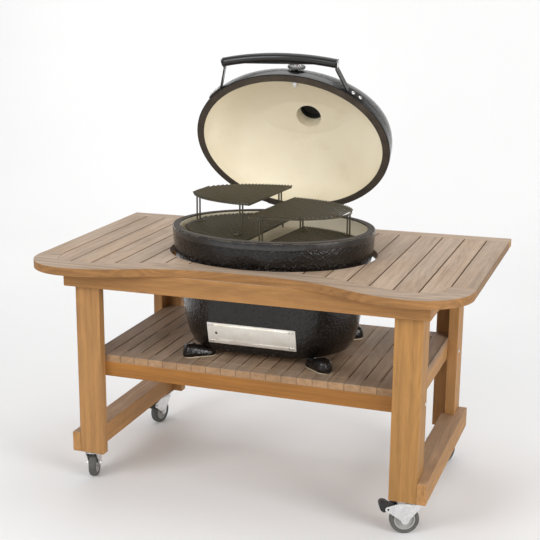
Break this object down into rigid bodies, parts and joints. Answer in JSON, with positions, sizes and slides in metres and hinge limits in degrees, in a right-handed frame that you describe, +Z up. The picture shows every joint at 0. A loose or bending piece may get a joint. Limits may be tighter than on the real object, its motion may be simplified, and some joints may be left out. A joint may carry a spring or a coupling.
{
  "type": "kamado grill table",
  "caption": "Wheeled timber table with a wavy front edge, slatted shelf and an oval ceramic kamado grill set in its top, its domed lid hinged open over stepped cooking grates.",
  "frame": {"origin": "on the floor under the middle of the table, on the upright axis of the oval grill", "axes": "+X to the right along the table, +Y from its front edge to its back, +Z up from the floor"},
  "size_m": [1.55, 1, 1.5667],
  "materials": {
    "black_enamel": "gloss black enamel",
    "black_glaze": "glossy pitted glaze",
    "black_gloss": "gloss black",
    "black_iron": "painted cast iron",
    "black_plastic": "satin black",
    "bright_steel": "stainless",
    "brown_felt": "dense felt",
    "brushed_steel": "brushed stainless",
    "deck_timber": "weathered teak",
    "fired_clay": "bare fired clay",
    "frame_timber": "oiled teak",
    "grate_iron": "enamelled rod",
    "grey_tyre": "grey rubber",
    "needle_paint": "red paint",
    "top_timber": "weathered oiled teak",
    "zinc_plate": "bright zinc plate"
  },
  "bodies": {
    "table": {"apron_back": "frame_timber", "apron_front": "frame_timber", "apron_left": "frame_timber", "apron_right": "frame_timber", "base_band": "black_enamel", "base_gasket": "brown_felt", "base_shell": "black_glaze", "bottom_rail_left": "frame_timber", "bottom_rail_right": "frame_timber", "caster_plates": "zinc_plate", "ceramic_feet": "black_glaze", "draft_frame": "brushed_steel", "draft_screws": "bright_steel", "fire_grate": "black_iron", "firebox": "fired_clay", "hinge_base_bracket": "black_enamel", "hinge_pin": "zinc_plate", "hinge_springs": "zinc_plate", "leg_back_left": "frame_timber", "leg_back_right": "frame_timber", "leg_bolts": "bright_steel", "leg_front_left": "frame_timber", "leg_front_right": "frame_timber", "main_grate_left": "grate_iron", "main_grate_right": "grate_iron", "rack_left": "grate_iron", "rack_right": "grate_iron", "shelf_back_rail": "frame_timber", "shelf_deck": "deck_timber", "shelf_front_rail": "frame_timber", "shelf_left_rail": "frame_timber", "shelf_middle_rail": "frame_timber", "shelf_right_rail": "frame_timber", "top_back_board": "top_timber", "top_front_board": "top_timber", "top_planks": "top_timber"},
    "lid": {"lid_shell": "black_glaze", "lid_gasket": "brown_felt", "lid_band": "black_enamel", "hinge_lid_bracket": "black_enamel", "handle_grip": "black_gloss", "handle_brackets": "black_enamel", "lid_bolts": "bright_steel", "thermometer_case": "bright_steel", "vent_base": "black_iron"},
    "draft_door": {"draft_door": "brushed_steel"},
    "vent_cap": {"vent_cap": "black_iron"},
    "thermometer_needle": {"thermometer_needle": "needle_paint"},
    "swivel_front_right": {"caster_fork_front_right": "zinc_plate"},
    "wheel_front_right": {"caster_wheel_front_right": "grey_tyre"},
    "pedal_front_right": {"caster_pedal_front_right": "black_plastic"},
    "swivel_front_left": {"caster_fork_front_left": "zinc_plate"},
    "wheel_front_left": {"caster_wheel_front_left": "grey_tyre"},
    "pedal_front_left": {"caster_pedal_front_left": "black_plastic"},
    "swivel_back_left": {"caster_fork_back_left": "zinc_plate"},
    "wheel_back_left": {"caster_wheel_back_left": "grey_tyre"},
    "pedal_back_left": {"caster_pedal_back_left": "black_plastic"},
    "swivel_back_right": {"caster_fork_back_right": "zinc_plate"},
    "wheel_back_right": {"caster_wheel_back_right": "grey_tyre"},
    "pedal_back_right": {"caster_pedal_back_right": "black_plastic"}
  },
  "joints": [
    {"name": "lid_hinge", "type": "hinge", "parent": "table", "child": "lid", "pos_m": [0, 0.32, 0.922], "axis": [1, 0, 0], "range_deg": [0, 61.5], "stiffness_Nm_per_rad": 25, "springref_deg": -42.97},
    {"name": "draft_door_slide", "type": "slide", "parent": "table", "child": "draft_door", "axis": [-1, 0, 0], "range_m": [0, 0.141]},
    {"name": "vent_cap_swing", "type": "hinge", "parent": "lid", "child": "vent_cap", "pos_m": [0.084, 0.41308, 1.34577], "axis": [0, 0.8788, 0.4772], "range_deg": [0, 110]},
    {"name": "thermometer_needle_turn", "type": "hinge", "parent": "lid", "child": "thermometer_needle", "pos_m": [0.046, 0.11266, 1.50507], "axis": [-0.0932, 0.0936, -0.9912], "range_deg": [0, 250]},
    {"name": "swivel_front_right_turn", "type": "hinge", "parent": "table", "child": "swivel_front_right", "pos_m": [0.606, -0.29, 0.1], "axis": [0, 0, 1], "continuous": true},
    {"name": "wheel_front_right_roll", "type": "hinge", "parent": "swivel_front_right", "child": "wheel_front_right", "pos_m": [0.57654, -0.3025, 0.05], "axis": [0.3907, -0.9205, 0], "continuous": true},
    {"name": "pedal_front_right_press", "type": "hinge", "parent": "swivel_front_right", "child": "pedal_front_right", "pos_m": [0.52316, -0.32517, 0.092], "axis": [0.3907, -0.9205, 0], "range_deg": [0, 18]},
    {"name": "swivel_front_left_turn", "type": "hinge", "parent": "table", "child": "swivel_front_left", "pos_m": [-0.606, -0.29, 0.1], "axis": [0, 0, 1], "continuous": true},
    {"name": "wheel_front_left_roll", "type": "hinge", "parent": "swivel_front_left", "child": "wheel_front_left", "pos_m": [-0.61428, -0.25909, 0.05], "axis": [-0.9659, -0.2588, 0], "continuous": true},
    {"name": "pedal_front_left_press", "type": "hinge", "parent": "swivel_front_left", "child": "pedal_front_left", "pos_m": [-0.62929, -0.20307, 0.092], "axis": [-0.9659, -0.2588, 0], "range_deg": [0, 18]},
    {"name": "swivel_back_left_turn", "type": "hinge", "parent": "table", "child": "swivel_back_left", "pos_m": [-0.606, 0.374, 0.1], "axis": [0, 0, 1], "continuous": true},
    {"name": "wheel_back_left_roll", "type": "hinge", "parent": "swivel_back_left", "child": "wheel_back_left", "pos_m": [-0.61045, 0.34231, 0.05], "axis": [0.9903, -0.1392, 0], "continuous": true},
    {"name": "pedal_back_left_press", "type": "hinge", "parent": "swivel_back_left", "child": "pedal_back_left", "pos_m": [-0.61853, 0.28488, 0.092], "axis": [0.9903, -0.1392, 0], "range_deg": [0, 18]},
    {"name": "swivel_back_right_turn", "type": "hinge", "parent": "table", "child": "swivel_back_right", "pos_m": [0.606, 0.374, 0.1], "axis": [0, 0, 1], "continuous": true},
    {"name": "wheel_back_right_roll", "type": "hinge", "parent": "swivel_back_right", "child": "wheel_back_right", "pos_m": [0.59, 0.34629, 0.05], "axis": [0.866, -0.5, 0], "continuous": true},
    {"name": "pedal_back_right_press", "type": "hinge", "parent": "swivel_back_right", "child": "pedal_back_right", "pos_m": [0.561, 0.29606, 0.092], "axis": [0.866, -0.5, 0], "range_deg": [0, 18]}
  ]
}
